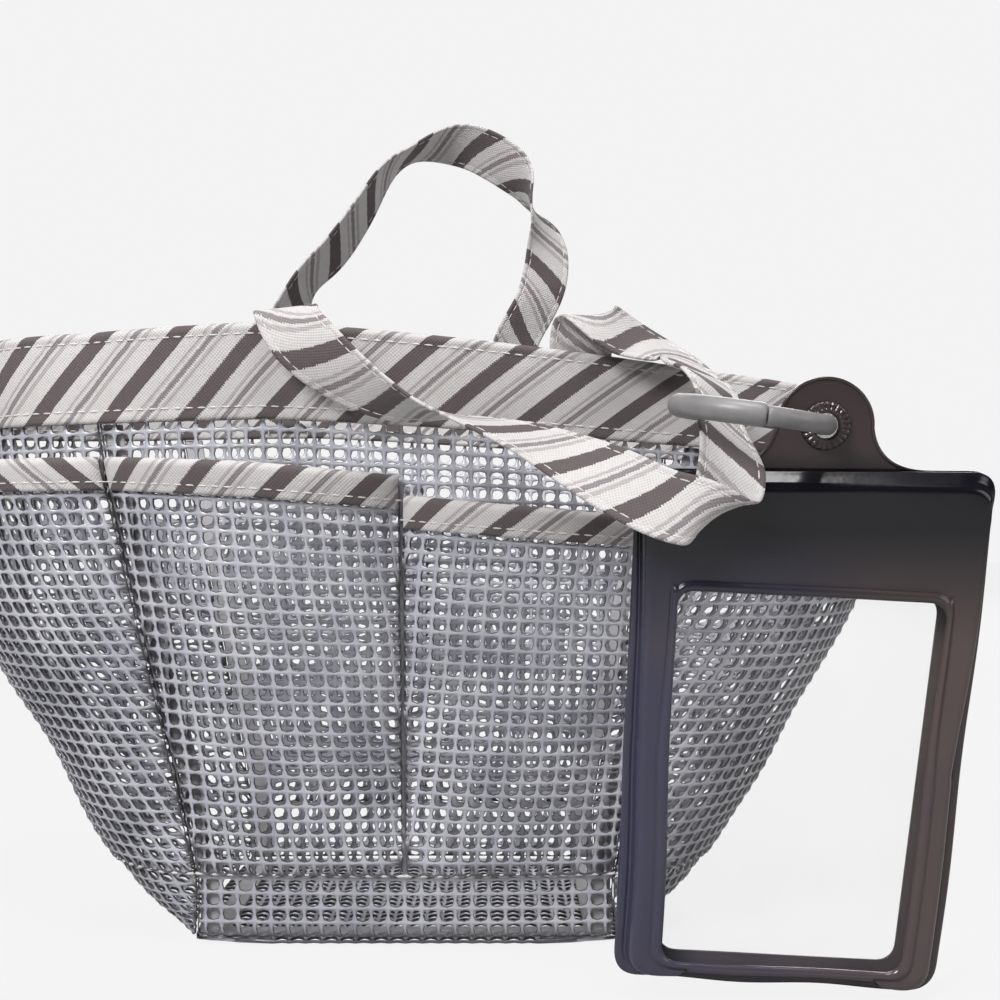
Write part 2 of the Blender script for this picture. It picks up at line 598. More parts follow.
def striped_canvas(name, lean):
    """Stripes across u + lean * v, printed on a plain weave. Scales are per mm of cloth."""
    paint, tree = new_material(name)
    uv = add_node(tree, "ShaderNodeUVMap", uv_map="cloth")
    u, v, _ = add_node(tree, "ShaderNodeSeparateXYZ", [uv]).outputs
    wobble = add_node(tree, "ShaderNodeTexNoise", {"Vector": uv, "Scale": 0.9, "Detail": 2})
    wander = add_node(tree, "ShaderNodeMath", [wobble.outputs["Fac"], 0.5], operation="SUBTRACT")
    wander = add_node(tree, "ShaderNodeMath", [wander, EDGE_WANDER], operation="MULTIPLY")
    threads = []
    for along_thread in (u, v):
        turn = add_node(tree, "ShaderNodeMath", [along_thread, math.tau / TWO_THREADS], operation="MULTIPLY")
        threads.append(add_node(tree, "ShaderNodeMath", [turn], operation="SINE"))
    weave = add_node(tree, "ShaderNodeMath", threads, operation="MULTIPLY")
    steps = add_node(tree, "ShaderNodeMath", [weave, WEAVE_WANDER], operation="MULTIPLY")
    wander = add_node(tree, "ShaderNodeMath", [wander, steps], operation="ADD")
    leaning = add_node(tree, "ShaderNodeMath", [v, lean], operation="MULTIPLY")
    across = add_node(tree, "ShaderNodeMath", [u, leaning], operation="ADD")
    across = add_node(tree, "ShaderNodeMath", [across, wander], operation="ADD")
    above_zero = add_node(tree, "ShaderNodeMath", [across, 10 * STRIPE_REPEAT], operation="ADD")
    repeats = add_node(tree, "ShaderNodeMath", [above_zero, STRIPE_REPEAT], operation="DIVIDE")
    share = add_node(tree, "ShaderNodeMath", [repeats], operation="FRACT")
    ramp = add_node(tree, "ShaderNodeValToRGB", [share])
    ramp.color_ramp.interpolation = "CONSTANT"
    for k, (start, colour) in enumerate(STRIPES):
        spots = ramp.color_ramp.elements
        spot = spots[k] if k < 2 else spots.new(start / STRIPE_REPEAT)
        spot.position, spot.color = start / STRIPE_REPEAT, colour
    slub = add_node(tree, "ShaderNodeTexNoise", {"Vector": uv, "Scale": 0.35, "Detail": 5, "Roughness": 0.7})
    half_weave = add_node(tree, "ShaderNodeMath", [weave, 0.5], operation="MULTIPLY")
    depth = add_node(tree, "ShaderNodeMath", [half_weave, slub.outputs["Fac"]], operation="ADD")
    value = add_node(tree, "ShaderNodeMapRange", {"Value": depth, "From Min": -0.2, "From Max": 1.2,
                                                  "To Min": 0.80, "To Max": 1.10})
    tone = add_node(tree, "ShaderNodeHueSaturation", {"Color": ramp.outputs["Color"], "Value": value})
    bump = add_node(tree, "ShaderNodeBump", {"Height": depth, "Strength": 0.5, "Distance": 0.0003})
    cloth = add_node(tree, "ShaderNodeBsdfPrincipled",
                     {"Base Color": tone, "Normal": bump, "Roughness": 0.82, "Sheen Weight": 0.12, "IOR": 1.5})
    add_node(tree, "ShaderNodeOutputMaterial", [cloth])
    return paint


bias_canvas = striped_canvas("printed_cotton_canvas_on_bias", -1.0)
straight_canvas = striped_canvas("printed_cotton_canvas_straight", -STRIPE_REPEAT / STRAIGHT_CUT_REPEAT)
print("canvas materials:", bias_canvas.name, straight_canvas.name)

# %% [markdown]
# The thread of the seams is spun white polyester: a little shiny, with the twist of its plies
# as a grain of 0.3 mm.

# %% Seam thread
thread_paint, tree = new_material("white_polyester_thread")
place = add_node(tree, "ShaderNodeTexCoord").outputs["Object"]
twist = add_node(tree, "ShaderNodeTexNoise", {"Vector": place, "Scale": scale_for(0.2857), "Detail": 1})
tone = add_node(tree, "ShaderNodeValToRGB", [twist.outputs["Fac"]])
tone.color_ramp.elements[0].color, tone.color_ramp.elements[1].color = srgb("#D5CFCC"), srgb("#F3EFED")
bump = add_node(tree, "ShaderNodeBump", {"Height": twist.outputs["Fac"], "Strength": 0.4, "Distance": 0.0001})
thread = add_node(tree, "ShaderNodeBsdfPrincipled",
                  {"Base Color": tone, "Normal": bump, "Roughness": 0.55, "Sheen Weight": 0.1})
add_node(tree, "ShaderNodeOutputMaterial", [thread])
print(thread_paint.name)

# %% [markdown]
# Canvas pieces and tapes are skins: rows of points on a closed section, one row for each place
# along the strip. A curve with a bevel could sweep a section too, but it twists where it likes
# and can't follow a wall. The helper joins the rows with quads, closes the ends, turns all
# faces outwards, and writes the cloth's own millimetres as UV coordinates, from which the
# stripes and the weave are made.

# %% Skins through rows of points


def skin(name, rows, u, v, paint, loop=False):
    """rows[i, j] in mm. u has a value for each row and v for each place, and one more to close."""
    count, places = rows.shape[:2]
    faces, coords = [], []
    for i in range(count if loop else count - 1):
        for j in range(places):
            square = [(i, j), (i + 1, j), (i + 1, j + 1), (i, j + 1)]
            faces.append([a % count * places + b % places for a, b in square])
            coords.append([(u[a], v[b]) for a, b in square])
    if not loop:
        for row, way in ((0, 1), (count - 1, -1)):
            faces.append([row * places + j for j in range(places)][::way])
            coords.append([(u[row], v[j]) for j in range(places)][::way])
    points = rows.reshape(-1, 3)
    quads = np.array([face for face in faces if len(face) == 4])
    a, b, c, d = (points[quads[:, k]] for k in range(4))
    if (a * (np.cross(b, c) + np.cross(c, d))).sum() < 0:
        faces, coords = [f[::-1] for f in faces], [f[::-1] for f in coords]
    mesh = bpy.data.meshes.new(name)
    mesh.from_pydata((points * MM).tolist(), [], faces)
    cloth = mesh.uv_layers.new(name="cloth")
    cloth.data.foreach_set("uv", np.array([p for face in coords for p in face], np.float32).ravel())
    mesh.polygons.foreach_set("use_smooth", [True] * len(mesh.polygons))
    mesh.materials.append(paint)
    made = bpy.data.objects.new(name, mesh)
    scene.collection.objects.link(made)
    return made


def lengths(section):
    """The distance round a closed section, with one more value to close it."""
    return running(np.concatenate([section, section[:1]]))


print("a section of 3, 4 and 5 mm is", lengths(np.array([[0, 0], [3, 0], [3, 4]]))[-1], "mm round")

# %% [markdown]
# The band and the bindings are strips folded over the net's edge. Their section goes up the
# outside, over the fold and down the inside, and back between the two layers. Stitched cloth
# puffs up between its seams like a pillow, which is what tells the eye that it is sewn.

# %% Section of a folded strip
FOLD_ROUND = 1.6


def lobes(height, knots, swells):
    """How far stitched cloth puffs out at a height: a pillow between each two knots."""
    puff = np.zeros_like(height, dtype=float)
    for low, high, swell in zip(knots[:-1], knots[1:], swells):
        share = np.clip((height - low) / (high - low), 0, 1)
        puff += swell * np.sin(share * np.pi) ** 0.6
    return puff


def folded_section(tall, outer, inner, thick, seams, swells):
    """Pairs of height and depth. outer and inner are the depths of the strip's two faces."""
    rise = np.concatenate([np.linspace(-tall, -1.8, max(8, round(tall * 0.9))), [-1.0, -0.4]])
    puff = lobes(rise, [-tall, *seams, 0], swells)
    tuck = np.array([0] * (len(rise) - 2) + [0.35, 0.9])
    outside = np.stack([rise, outer - puff + tuck], axis=1)
    fold = np.array([[0, outer + FOLD_ROUND], [0.05, (outer + inner) / 2], [0, inner - FOLD_ROUND]])
    inside = np.stack([rise, inner + puff - tuck], axis=1)[::-1]
    back = np.linspace(-tall, -thick - 0.2, 4)
    between = np.concatenate([np.stack([back, 0 * back + inner - thick], axis=1),
                              np.stack([back, 0 * back + outer + thick], axis=1)[::-1]])
    return np.concatenate([outside, fold, inside, between])


BAND_HEIGHT, BAND_SEAMS, BAND_SWELLS = 33, [-29.2, -4.0], [0.3, 0.55, 0.3]
section = folded_section(BAND_HEIGHT, -GAP - CANVAS, WALL + GAP + CANVAS, CANVAS, BAND_SEAMS, BAND_SWELLS)
print("band section:", section.shape[0], "points")

# %% [markdown]
# Stitches are real little threads. A line is laid where each seam runs, Geometry Nodes turn it
# into a curve, set a stitch at even steps and turn it along the seam. Each is an ellipsoid of
# a few faces, half sunk into the cloth, because there are thousands of them.

# %% Tree that sews
sew_tree = bpy.data.node_groups.new("sew_seam", "GeometryNodeTree")
sew = {}
for title, kind in (("Geometry", "NodeSocketGeometry"), ("Spacing", "NodeSocketFloat"),
                    ("Stitch length", "NodeSocketFloat"), ("Thread width", "NodeSocketFloat"),
                    ("Material", "NodeSocketMaterial")):
    sew[title] = sew_tree.interface.new_socket(title, in_out="INPUT", socket_type=kind).identifier
sew_tree.interface.new_socket("Geometry", in_out="OUTPUT", socket_type="NodeSocketGeometry")
given = add_node(sew_tree, "NodeGroupInput").outputs
seam = add_node(sew_tree, "GeometryNodeMeshToCurve", [given["Geometry"]])
spots = add_node(sew_tree, "GeometryNodeResampleCurve", {"Curve": seam, "Length": given["Spacing"]},
                 mode="LENGTH")
bead = add_node(sew_tree, "GeometryNodeMeshUVSphere", {"Segments": 6, "Rings": 5, "Radius": 0.5})
size = add_node(sew_tree, "ShaderNodeCombineXYZ",
                [given["Thread width"], given["Thread width"], given["Stitch length"]])
tangent = add_node(sew_tree, "GeometryNodeInputTangent")
turned = add_node(sew_tree, "FunctionNodeAlignRotationToVector", {"Vector": tangent}, axis="Z")
sown = add_node(sew_tree, "GeometryNodeInstanceOnPoints",
                {"Points": spots, "Instance": bead, "Rotation": turned, "Scale": size})
real = add_node(sew_tree, "GeometryNodeRealizeInstances", [sown])
round_off = add_node(sew_tree, "GeometryNodeSetShadeSmooth", [real])
painted = add_node(sew_tree, "GeometryNodeSetMaterial", {"Geometry": round_off, "Material": given["Material"]})
add_node(sew_tree, "NodeGroupOutput", [painted])


def stitches(name, seams, length=3.1, spacing=4.4, width=0.62):
    """Sews along every row of points in seams, in mm."""
    points, edges = [], []
    for seam in seams:
        edges += [(len(points) + k, len(points) + k + 1) for k in range(len(seam) - 1)]
        points += (np.asarray(seam) * MM).tolist()
    mesh = bpy.data.meshes.new(name)
    mesh.from_pydata(points, edges, [])
    made = bpy.data.objects.new(name, mesh)
    scene.collection.objects.link(made)
    plain_mesh(made, sew_tree, {sew["Spacing"]: spacing * MM, sew["Stitch length"]: length * MM,
                                sew["Thread width"]: width * MM, sew["Material"]: thread_paint})
    print(name, len(made.data.polygons), "faces")
    return made


print("sewing tree has", len(sew_tree.nodes), "nodes")

# %% [markdown]
# The rim band is one strip of canvas folded over the top of the net. Two rows of stitches hold
# it near its edges, and the cloth puffs up between them, puckers a little along them, and
# drifts in and out more towards its free lower edge. The stripes' repeat is stretched by a
# hair, so that a whole number goes round and no seam shows.

# %% Rim band
AROUND_STEP, PUCKERS_ROUND, PUCKER, PUCKER_REACH = 3.0, 96, 0.22, 8


def around(level, depth):
    """The bag's surface at one level as a closed row of points: front, right, back, left."""
    row = []
    for side, way, length in (("front", 1, 240), ("right", 1, 220), ("back", -1, 240), ("left", -1, 220)):
        row.append(wall_point(side, np.linspace(-way, way, round(length / AROUND_STEP)), level, depth))
    return np.concatenate(row)


def away_from_middle(points, middle):
    """Unit steps straight out of the bag's middle, level with the floor."""
    away = points - middle
    away[..., 2] = 0
    return away / np.linalg.norm(away, axis=-1, keepdims=True)


rows = np.stack([around(RIM_HEIGHT + h, d) for h, d in section], axis=1)
run = running(np.concatenate([rows[:, 8], rows[:1, 8]]))
run *= round(run[-1] / STRIPE_REPEAT) * STRIPE_REPEAT / run[-1]
phase = run[:-1] / run[-1] * math.tau
face = np.where(section[:, 1] < (WALL / 2), 1, -1)
near_seams = np.abs(section[:, 0] + BAND_HEIGHT / 2) > PUCKER_REACH
pucker = PUCKER * np.sin(phase * PUCKERS_ROUND + 2 * np.sin(phase * 7))[:, None] * near_seams
drift = (0.5 * np.sin(phase * 9 + 1) + 0.35 * np.sin(phase * 17))[:, None]
drift = drift * np.clip(-section[:, 0] / BAND_HEIGHT, 0, 1)
rows = rows + away_from_middle(rows, rows.mean(axis=(0, 1))) * (pucker * face + drift)[..., None]
band = skin("rim_canvas_band", rows, run, lengths(section), bias_canvas, loop=True)
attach(band, "root")
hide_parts("rim_band")

# %% [markdown]
# The band's seams lie on its outer and its inner face. Each follows the row of the skin that
# is nearest to the seam's height, lifted so that the stitches stand half out of the cloth.

# %% Rim seams
BAND_SEAM_LIFT, BINDING_SEAM_LIFT = 0.12, 0.1


def seam_on(rows, section, height, lift, inside=False):
    """The row of points where a seam lies on a swept band."""
    wanted = (section[:, 1] > WALL / 2) == inside
    j = np.flatnonzero(wanted)[np.argmin(np.abs(section[wanted, 0] - height))]
    line = rows[:, j]
    return line + away_from_middle(line, rows.mean(axis=(0, 1))) * (lift if not inside else -lift)


seams = [seam_on(rows, section, height, BAND_SEAM_LIFT, inside)
         for height in BAND_SEAMS for inside in (False, True)]
band_thread = stitches("rim_band_stitches", seams)
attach(band_thread, "root")

# %% [markdown]
# Each pocket's mouth has a narrow canvas binding of the same cloth, folded over the net and
# sewn once near its lower edge. It is the same section, swept along the mouth.

# %% Pocket bindings
BINDING_HEIGHT, BINDING_SEAM, BINDING_SWELLS = 12, -9.4, [0.25, 0.5]
section = folded_section(BINDING_HEIGHT, -GAP - BINDING - WALL, GAP + BINDING, BINDING,
                         [BINDING_SEAM], BINDING_SWELLS)
for name, (side, start, end, first, last, bulge) in POCKETS.items():
    across = np.linspace(0, 1, 78 if side in ("left", "right") else 44)
    top = first + (last - first) * across
    rows = np.stack([pocket_point(name, across, 1 + h / (top - POCKET_BOTTOM), d) for h, d in section],
                    axis=1)
    binding = skin(f"{name}_pocket_canvas_binding", rows, running(rows[:, 4]), lengths(section), bias_canvas)
    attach(binding, "root")
    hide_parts(f"{name}_pocket_binding")
    thread = stitches(f"{name}_binding_stitches",
                      [seam_on(rows, section, BINDING_SEAM, BINDING_SEAM_LIFT)])
    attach(thread, "root")

# %% [markdown]
# The pockets' feet are turned under and sewn to the walls with thick thread. Each stitch shows
# as a small white nub, which draws the ridge that runs round the bag above the base.

# %% Pocket foot seams
FOOT_ACROSS, FOOT_DEPTH = np.linspace(0.01, 0.99, 60), -1.1
foot_rows = [pocket_point(name, FOOT_ACROSS, 0 * FOOT_ACROSS, FOOT_DEPTH) for name in POCKETS]
foot_thread = stitches("pocket_foot_stitches", foot_rows, length=3.6, spacing=5.4, width=1.3)
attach(foot_thread, "root")

# %% [markdown]
# Inside the bag a woven polyester tape covers each upright seam, and a frame of the same tape
# lies on the base's seam. It is dull white, with ribs of 0.6 mm from its warp, and a little
# dusty in clouds of 5 mm. Both are drawn in the cloth's millimetres.

# %% Tape finish
tape_paint, tree = new_material("white_polyester_seam_tape")
uv = add_node(tree, "ShaderNodeUVMap", uv_map="cloth")
ribs = add_node(tree, "ShaderNodeTexWave", {"Vector": uv, "Scale": 0.55, "Distortion": 0.4, "Detail": 1})
dust = add_node(tree, "ShaderNodeTexNoise", {"Vector": uv, "Scale": 0.2, "Detail": 4})
tone = add_node(tree, "ShaderNodeValToRGB", [dust.outputs["Fac"]])
tone.color_ramp.elements[0].color, tone.color_ramp.elements[1].color = srgb("#B9B6B9"), srgb("#D2CFD1")
bump = add_node(tree, "ShaderNodeBump", {"Height": ribs.outputs["Fac"], "Strength": 0.4, "Distance": 0.0002})
tape = add_node(tree, "ShaderNodeBsdfPrincipled", {"Base Color": tone, "Normal": bump, "Roughness": 0.7})
add_node(tree, "ShaderNodeOutputMaterial", [tape])
print(tape_paint.name)

# %% [markdown]
# A tape is a flat section with soft edges, thinner there as a woven edge is. Four run up the
# corner seams, from the base to the rim band.

# %% Upright tapes
TAPE_WIDTH, TAPE_THICKNESS = 8, 1


def tape_section(width, thick):
    """Pairs of distance across and depth, over the face and back under the tape."""
    across = np.array([0, 0.4, 1.2, 2.6, width / 2, width - 2.6, width - 1.2, width - 0.4, width])
    face = np.array([0.5, 0.12, 0.0, 0.12, 0.15, 0.12, 0.0, 0.12, 0.5]) * thick
    return np.concatenate([np.stack([across, face], axis=1),
                           np.stack([across[::-1][1:-1], thick - face[::-1][1:-1]], axis=1)])


section = tape_section(TAPE_WIDTH - POCKET_SEAM, TAPE_THICKNESS)
levels = np.linspace(BASE_THICKNESS + 2 * GAP + TAPE_THICKNESS, RIM_HEIGHT - BAND_HEIGHT - GAP, 60)
for side in ("front", "back"):
    for hand, sign in (("left", -1), ("right", 1)):
        corner = np.abs(wall_point(side, 1.0, levels, 0)[:, 0])
        rows = np.stack([wall_point(side, sign * (1 - (POCKET_SEAM + a) / corner), levels, WALL + GAP + d)
                         for a, d in section], axis=1)
        upright = skin(f"{side}_{hand}_seam_tape", rows, running(rows[:, 0]), lengths(section), tape_paint)
        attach(upright, "root")
        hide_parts(f"seam_tape_{side}_{hand}")
print("four tapes of", TAPE_WIDTH, "mm")

# %% [markdown]
# The tape on the base is one closed frame with rounded corners, so it is a skin that meets
# itself and has no ends.

# %% Base tape
BASE_TAPE_INSET, BASE_TAPE_CORNER = 2.2, 8


def rounded_loop(x, y, corner, count=14):
    """A rectangle with rounded corners as a loop of points. x and y are its half sizes."""
    loop = []
    for cx, cy, start in ((x, -y, -0.5), (x, y, 0), (-x, y, 0.5), (-x, -y, 1)):
        turn = np.linspace(start, start + 0.5, count) * np.pi
        loop.append(np.stack([cx - np.sign(cx) * corner + corner * np.cos(turn),
                              cy - np.sign(cy) * corner + corner * np.sin(turn)], axis=1))
    return np.concatenate(loop)


rows = []
for inset, low in tape_section(TAPE_WIDTH, TAPE_THICKNESS):
    edge = rounded_loop(BASE_CORNER_X - BASE_TAPE_INSET - inset, BASE_CORNER_Y - BASE_TAPE_INSET - inset,
                        BASE_TAPE_CORNER * (1 - inset / TAPE_WIDTH / 2))
    rows.append(np.column_stack([edge, np.full(len(edge), BASE_THICKNESS + GAP + TAPE_THICKNESS - low)]))
rows = np.stack(rows, axis=1)
run = running(np.concatenate([rows[:, 0], rows[:1, 0]]))
frame_tape = skin("base_seam_tape_frame", rows, run, lengths(tape_section(TAPE_WIDTH, TAPE_THICKNESS)),
                  tape_paint, loop=True)
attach(frame_tape, "root")
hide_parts("base_seam_tape")
print("base tape", round(run[-1]), "mm round")

# %% [markdown]
# Each handle is one strap of the same canvas, 22 mm wide, cut along the cloth and hemmed along
# both edges. It is sewn inside the rim, comes up over it, and follows the route of the solid.
# The front strap hangs forward over the rim and turns back sharply at its right end. Each row
# of a table is a measured point and the way that the strap's width points there. The point is
# in shares: of the distance between the feet, of the reach or rise, and of the drop or rise.

# %% Strap routes
STRAP_WIDTH, STRAP_THICKNESS, FEET_APART = 22, 1.4, 101
DRAPE_REACH, DRAPE_DROP, HANDLE_RISE = 60, 66, 100
FRONT_ROWS = [
    [0, 0.02, -0.1, 0.93, 0.33, 0.16], [0.02, 0.108, 0.023, 0.8, 0.1, 0.6],
    [0.094, 0.142, 0.152, 0.77, -0.1, 0.63], [0.195, 0.158, 0.28, 0.62, -0.5, 0.6],
    [0.303, 0.2, 0.383, 0.48, -0.75, 0.45], [0.414, 0.258, 0.456, 0.3, -0.9, 0.3],
    [0.533, 0.317, 0.495, 0, -1, 0], [0.658, 0.383, 0.542, -0.2, -0.95, -0.2],
    [0.776, 0.483, 0.6, -0.42, -0.84, -0.35], [0.938, 0.65, 0.715, -0.5, -0.6, -0.6],
    [1.083, 0.885, 0.844, -0.45, -0.35, -0.82], [1.208, 1.017, 0.947, -0.49, -0.15, -0.86],
    [1.318, 1.1, 0.985, -0.49, 0, -0.87], [1.371, 1.042, 1.011, -0.74, 0.43, -0.52],
    [1.391, 0.967, 0.917, -0.97, -0.1, -0.2], [1.413, 0.965, 0.802, -0.97, -0.12, 0],
    [1.412, 0.842, 0.66, -0.72, -0.69, 0], [1.401, 0.692, 0.538, -0.64, -0.77, 0],
    [1.388, 0.642, 0.405, -0.55, -0.82, 0], [1.376, 0.417, 0.328, -0.5, -0.8, 0.1],
    [1.361, 0.15, 0.28, -0.52, -0.82, 0], [1.332, -0.067, 0.19, -0.52, -0.8, -0.18],
    [1.248, -0.117, 0.13, -0.57, -0.74, -0.3], [1.144, -0.1, 0.06, -0.62, -0.66, -0.35],
    [1.05, -0.033, -0.01, -0.74, -0.56, -0.2], [1.025, -0.085, -0.07, -0.94, -0.25, 0],
    [1, -0.13, 0, -0.97, -0.12, 0.15],
]
BACK_ROWS = [
    [0.01, 0.005, 0.12, -0.95, -0.2, 0.05], [0.04, 0.01, 0.25, -0.55, -0.8, 0.1],
    [0.09, 0.015, 0.37, -0.27, -0.92, 0.27], [0.205, 0.02, 0.48, -0.27, -0.86, 0.4],
    [0.345, 0.03, 0.68, -0.27, -0.92, 0.23], [0.47, 0.04, 0.89, -0.1, -0.99, 0.1],
    [0.56, 0.045, 0.955, 0, -1, 0], [0.668, 0.05, 0.99, 0, -0.93, 0.36],
    [0.82, 0.055, 1, 0.04, -0.55, 0.84], [0.953, 0.055, 0.94, 0.1, -0.43, 0.9],
    [1.045, 0.05, 0.87, 0.06, -0.45, 0.9], [1.094, 0.045, 0.787, 0.07, -0.72, 0.67],
    [1.1, 0.04, 0.713, 0, -1, 0], [1.167, 0.04, 0.64, -0.59, -0.8, 0],
    [1.186, 0.035, 0.497, -0.9, -0.43, 0], [1.169, 0.025, 0.358, -0.94, -0.3, 0],
    [1.116, 0.015, 0.23, -0.86, -0.45, -0.1], [1.056, 0.005, 0.13, -0.85, -0.35, -0.08],
]


def unit(vectors):
    return vectors / np.maximum(np.linalg.norm(vectors, axis=-1, keepdims=True), 1e-9)


def rim_top(side, x, lift):
    corner = abs(float(wall_point(side, 1, RIM_HEIGHT, 0)[0]))
    return wall_point(side, x / corner, RIM_HEIGHT, WALL / 2) + [0, 0, lift]


def strap_points(side, left, right, shares, sign):
    """The points of a route in mm from its left foot to its right one, and the widths' ways."""
    axis = unit(right - left) * sign
    rows = np.array(shares, float)
    points = np.empty((len(rows), 3))
    points[:, 0] = left[0] + rows[:, 0] * FEET_APART
    if side == "front":
        points[:, 1] = -RIM_HALF_DEPTH - rows[:, 1] * DRAPE_REACH
        points[:, 2] = RIM_HEIGHT - rows[:, 2] * DRAPE_DROP
    else:
        points[:, 1:] = left[1:] + rows[:, 1:3] * HANDLE_RISE
    return np.concatenate([[left], points, [right]]), np.concatenate([[axis], rows[:, 3:], [-sign * axis]])


print("routes with", len(FRONT_ROWS), "and", len(BACK_ROWS), "points")

# %% [markdown]
# A smooth curve goes through the points. Centripetal Catmull-Rom is chosen because it makes
# no loops between points that are unevenly far apart. The strap's two edges are
# drawn from it at even steps and then eased: each point moves towards its neighbours' middle,
# again and again, as stiff canvas lets no small kink stand.

# %% Smooth route and eased edges
PLACES_PER_POINT, PLACE_STEP, EVEN_STEP, EASE_TURNS = 60, 0.003, 1.3, 30


def smooth_route(points, places):
    """A curve through points, at places from 0 to the last point's number."""
    points = np.concatenate([[2 * points[0] - points[1]], points, [2 * points[-1] - points[-2]]])
    i = np.clip(np.floor(places).astype(int), 0, len(points) - 4)
    u = (places - i)[:, None]
    p0, p1, p2, p3 = (points[i + k] for k in range(4))
    d0, d1, d2 = (np.maximum(np.linalg.norm(b - a, axis=1, keepdims=True) ** 0.5, 1e-2)
                  for a, b in ((p0, p1), (p1, p2), (p2, p3)))
    m1 = ((p1 - p0) / d0 - (p2 - p0) / (d0 + d1) + (p2 - p1) / d1) * d1
    m2 = ((p2 - p1) / d1 - (p3 - p1) / (d1 + d2) + (p3 - p2) / d2) * d1
    return p1 + m1 * u + (3 * (p2 - p1) - 2 * m1 - m2) * u ** 2 + (2 * (p1 - p2) + m1 + m2) * u ** 3


def strap_edges(points, widths):
    """The strap's left and right edge as rows of points."""
    last = len(points) - 1
    places = np.linspace(0, last, PLACES_PER_POINT * last + 1)
    middle = smooth_route(points, places)
    before, after = (smooth_route(points, np.clip(places + step, 0, last))
                     for step in (-PLACE_STEP, PLACE_STEP))
    ahead = unit(after - before)
    across = smooth_route(widths, places)
    across = unit(across - ahead * (across * ahead).sum(axis=1, keepdims=True))
    run = running(middle)
    even = np.linspace(0, run[-1], round(run[-1] / EVEN_STEP) + 1)
    edges = []
    for way in (-1, 1):
        edge = middle + across * way * STRAP_WIDTH / 2
        edge = np.stack([np.interp(even, run, edge[:, k]) for k in range(3)], axis=1)
        for turn in range(EASE_TURNS):
            edge[1:-1] = (edge[:-2] + 2 * edge[1:-1] + edge[2:]) / 4
        edges.append(edge)
    return edges


print("edges at steps of", EVEN_STEP, "mm")

# %% [markdown]
# The strap's section is thin at its edges, swells into the hem, dips where the seam pulls it
# in, and is even in its middle. Its two ends go straight down inside the rim band, where they
# are sewn.

# %% Strap section and ends
HALF_SHARES = np.array([0.2, 0.45, 0.62, 0.72, 0.78, 0.83, 0.9, 0.96, 0.99])
HALF_SWELLS = np.array([0.82, 0.84, 0.8, 0.7, 0.5, 0.72, 0.98, 0.85, 0.45])
END_HEIGHTS = np.array([-30, -26, -20, -14, -8, -4, -1.2])
SEAM_SHARE_ACROSS, SEAM_SHARE_OUT = 0.78, 0.52
face_share = np.concatenate([[-1], -HALF_SHARES[::-1], [0], HALF_SHARES, [1]])
face_swell = np.concatenate([[0], HALF_SWELLS[::-1], [0.82], HALF_SWELLS, [0]]) * STRAP_THICKNESS / 2
strap_share = np.concatenate([face_share, face_share[::-1][1:-1]])
strap_swell = np.concatenate([face_swell, -face_swell[::-1][1:-1]])
strap_cloth = np.concatenate([face_share, 2 - face_share[::-1][1:]]) * STRAP_WIDTH / 2


def strap_end(side, x, way, sign):
    """Points down the rim's inner face where a strap is sewn on, and the ways of its width."""
    corner = abs(float(wall_point(side, 1, RIM_HEIGHT, 0)[0]))
    lining = WALL + 2 * GAP + CANVAS + STRAP_THICKNESS / 2
    place = wall_point(side, x / corner, RIM_HEIGHT + END_HEIGHTS, lining)
    beside = wall_point(side, (x + 1) / corner, RIM_HEIGHT + END_HEIGHTS, lining) - place
    return place[::way], unit(beside)[::way] * way * sign


def strap(side, shift, shares, sign, lift):
    """Rows of points of a strap, its length at each row, its seams, and its half width."""
    left, right = (rim_top(side, shift + foot * FEET_APART / 2, lift) for foot in (-1, 1))
    edges = strap_edges(*strap_points(side, left, right, shares, sign))
    middle, span = (edges[0] + edges[1]) / 2, edges[1] - edges[0]
    first, first_across = strap_end(side, left[0], 1, sign)
    last, last_across = strap_end(side, right[0], -1, sign)
    middle = np.concatenate([first, middle[1:-1], last])
    across = np.concatenate([first_across, unit(span)[1:-1], last_across])
    end_half = np.full(len(END_HEIGHTS), STRAP_WIDTH / 2)
    half = np.concatenate([end_half, np.linalg.norm(span, axis=1)[1:-1] / 2, end_half])
    ahead = unit(np.gradient(middle, axis=0))
    face = unit(np.cross(ahead, across))
    rows = (middle[:, None] + across[:, None] * (strap_share * half[:, None])[..., None]
            + face[:, None] * strap_swell[None, :, None])
    seams = [middle + across * (edge * half)[:, None] + face * out * STRAP_THICKNESS / 2
             for edge in (-SEAM_SHARE_ACROSS, SEAM_SHARE_ACROSS) for out in (SEAM_SHARE_OUT, -SEAM_SHARE_OUT)]
    return rows, running(middle), seams, half


print("strap section:", len(strap_share), "points")

# %% [markdown]
# The straps swing with their handles, while their feet stay sewn to the bag. So each strap and
# its thread are blended: a point below one plane keeps to the root, a point above the next
# keeps to the handle, and between them the cloth bends smoothly. The table gives the planes'
# way and how far along it they lie, in metres. Where a fold squeezes the strap narrower than
# 12 mm the seams are left out, as they would pile up.

